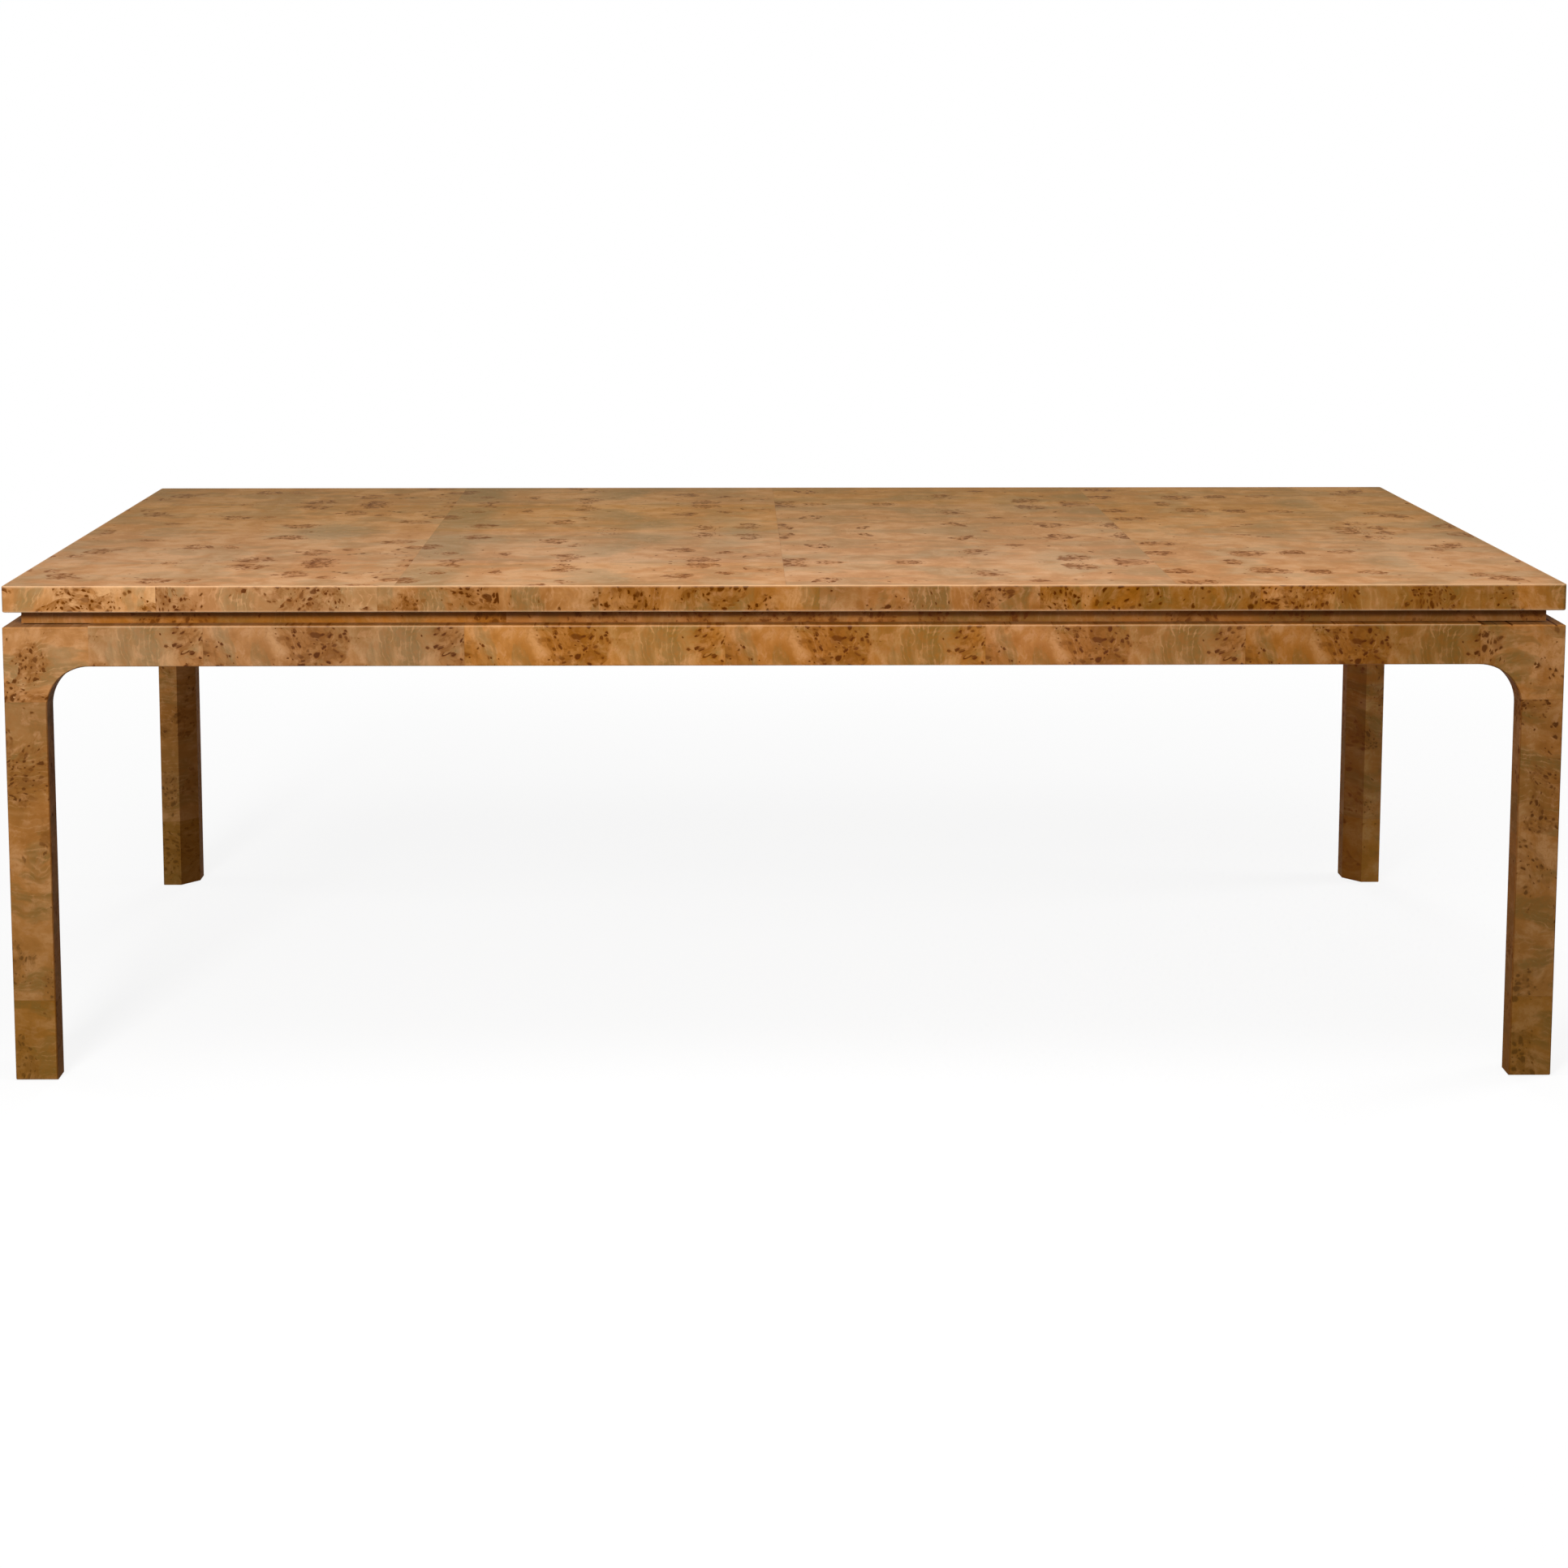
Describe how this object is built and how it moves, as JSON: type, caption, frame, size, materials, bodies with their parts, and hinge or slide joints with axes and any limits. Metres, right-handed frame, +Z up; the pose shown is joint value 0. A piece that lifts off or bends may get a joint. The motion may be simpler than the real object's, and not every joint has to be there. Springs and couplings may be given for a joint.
{
  "type": "parsons dining table",
  "caption": "Long rectangular parsons dining table in burl veneer: thick top over a set-back neck, flush apron, square corner legs with quarter-round arches, bolted to corner braces.",
  "frame": {"origin": "on the floor under the middle of the top", "axes": "+X along the table's length, -Y towards the front long side, +Z up"},
  "size_m": [2.34, 1.067, 0.762],
  "materials": {
    "burl_veneer": "satin lacquer over poplar burl veneer, in joined sheets",
    "plain_hardwood": "planed and unfinished",
    "zinc_steel": "bright zinc plate",
    "dark_nylon": "matt moulded"
  },
  "bodies": {
    "root": {"top_board": "burl_veneer", "top_rim_front": "burl_veneer", "frame_rail_front": "burl_veneer", "apron_front": "burl_veneer", "top_rim_back": "burl_veneer", "frame_rail_back": "burl_veneer", "apron_back": "burl_veneer", "top_rim_left": "burl_veneer", "frame_rail_left": "burl_veneer", "apron_left": "burl_veneer", "top_rim_right": "burl_veneer", "frame_rail_right": "burl_veneer", "apron_right": "burl_veneer", "leg_front_left": "burl_veneer", "corner_brace_front_left": "plain_hardwood", "leg_front_right": "burl_veneer", "corner_brace_front_right": "plain_hardwood", "leg_back_left": "burl_veneer", "corner_brace_back_left": "plain_hardwood", "leg_back_right": "burl_veneer", "corner_brace_back_right": "plain_hardwood", "cross_rail_left": "plain_hardwood", "cross_rail_centre": "plain_hardwood", "cross_rail_right": "plain_hardwood", "hanger_bolts": "zinc_steel", "hanger_washers": "zinc_steel", "hanger_nuts": "zinc_steel", "brace_screws": "zinc_steel", "top_brackets": "zinc_steel", "bracket_screws": "zinc_steel", "apron_screws": "zinc_steel", "foot_glides": "dark_nylon"}
  },
  "joints": []
}
